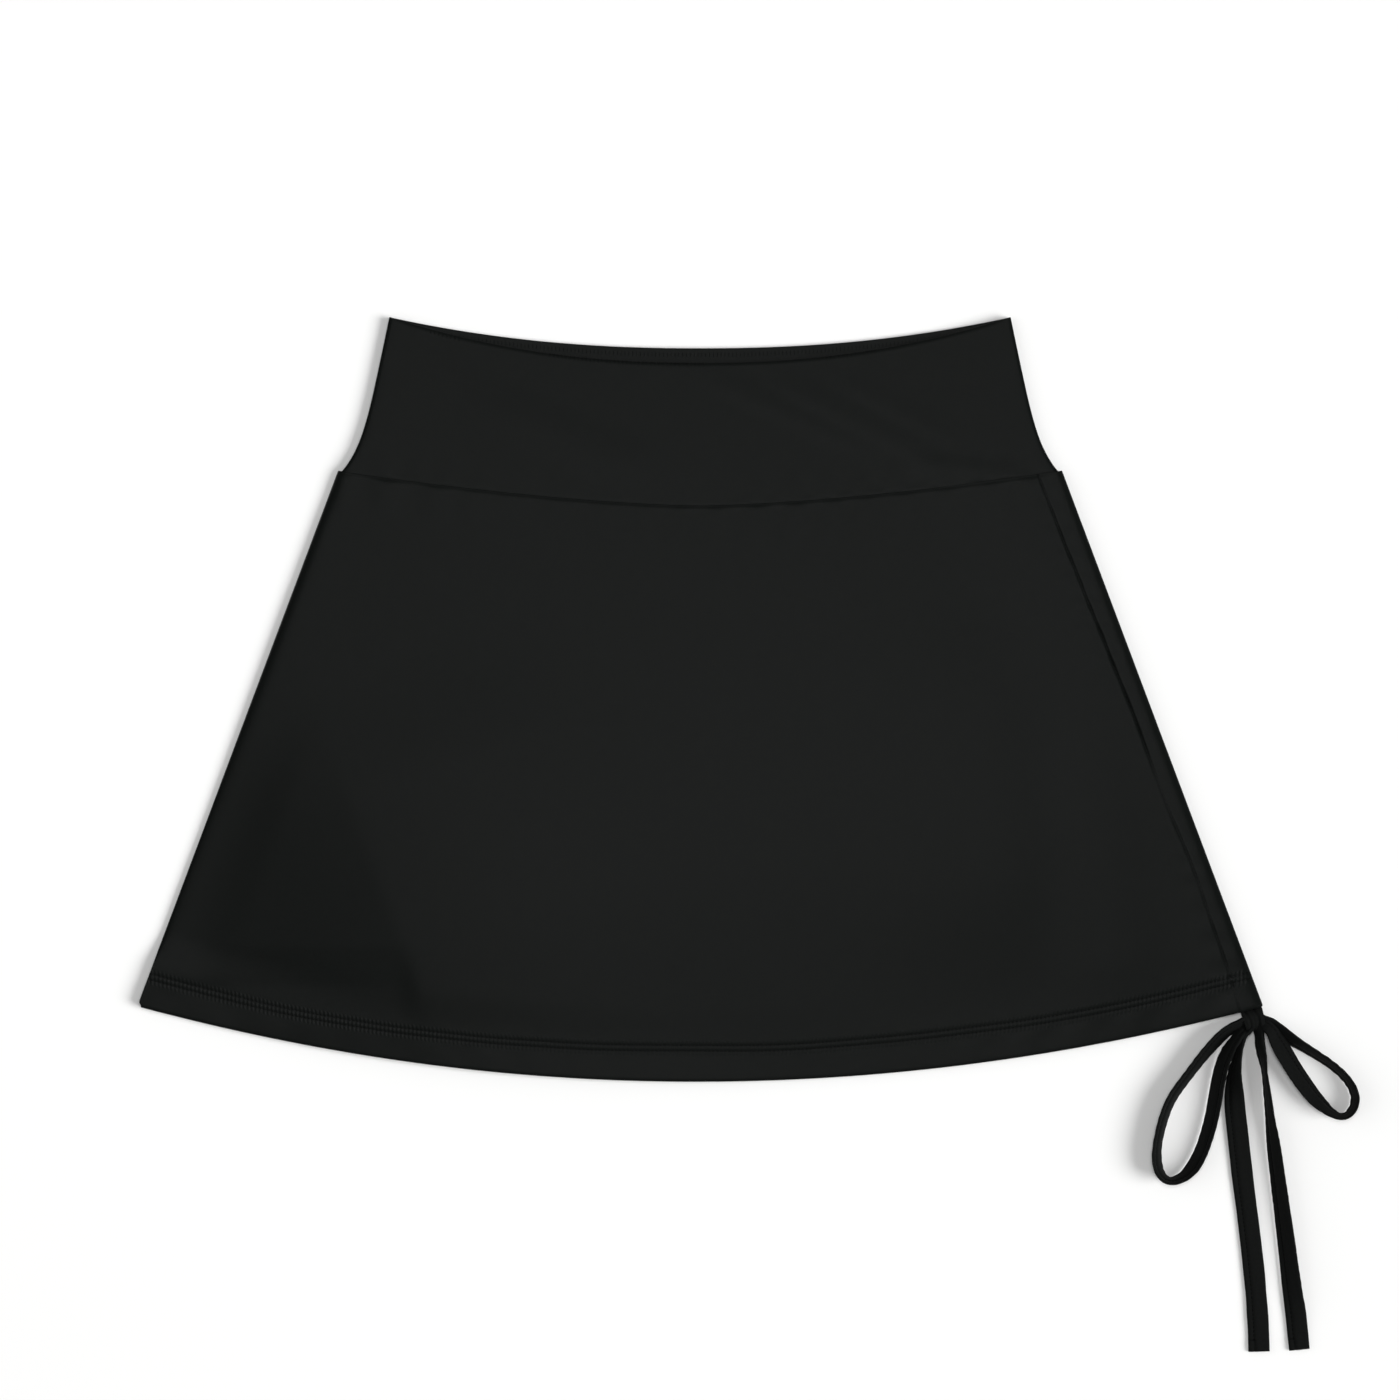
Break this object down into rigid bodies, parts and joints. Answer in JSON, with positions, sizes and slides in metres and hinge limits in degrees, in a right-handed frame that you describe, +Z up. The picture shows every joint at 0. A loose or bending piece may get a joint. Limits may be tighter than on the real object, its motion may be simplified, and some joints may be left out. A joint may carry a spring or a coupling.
{
  "type": "tennis skort",
  "caption": "Knit tennis skort laid flat: wide contoured waistband, flared skirt over built-in shorts, hem stitched in twin rows, and a side channel whose drawcord ends in a bow.",
  "frame": {"origin": "on the surface that the skort lies on, under the middle of the garment's outline without its bow", "axes": "+Z up from that surface and out of the front; +Y towards the waist; +X towards the side seam with the drawcord, on the viewer's right and the wearer's left"},
  "size_m": [0.635, 0.5383, 0.0123],
  "materials": {
    "skirt_knit": "matte fine jersey knit, charcoal black",
    "waistband_knit": "matte fine jersey knit, doubled, charcoal black",
    "shorts_knit": "matte stretch knit, black",
    "tie_knit": "matte folded knit strip, black"
  },
  "bodies": {
    "root": {"waistband_front": "waistband_knit", "waistband_back": "waistband_knit", "skirt_front": "skirt_knit", "skirt_back": "skirt_knit", "shorts_front_left": "shorts_knit", "shorts_front_right": "shorts_knit", "shorts_back_left": "shorts_knit", "shorts_back_right": "shorts_knit", "channel_casing": "skirt_knit", "drawcord_run": "tie_knit", "tie_knot": "tie_knit", "tie_loop_left": "tie_knit", "tie_loop_right": "tie_knit", "tie_tail_left": "tie_knit", "tie_tail_right": "tie_knit"}
  },
  "joints": []
}
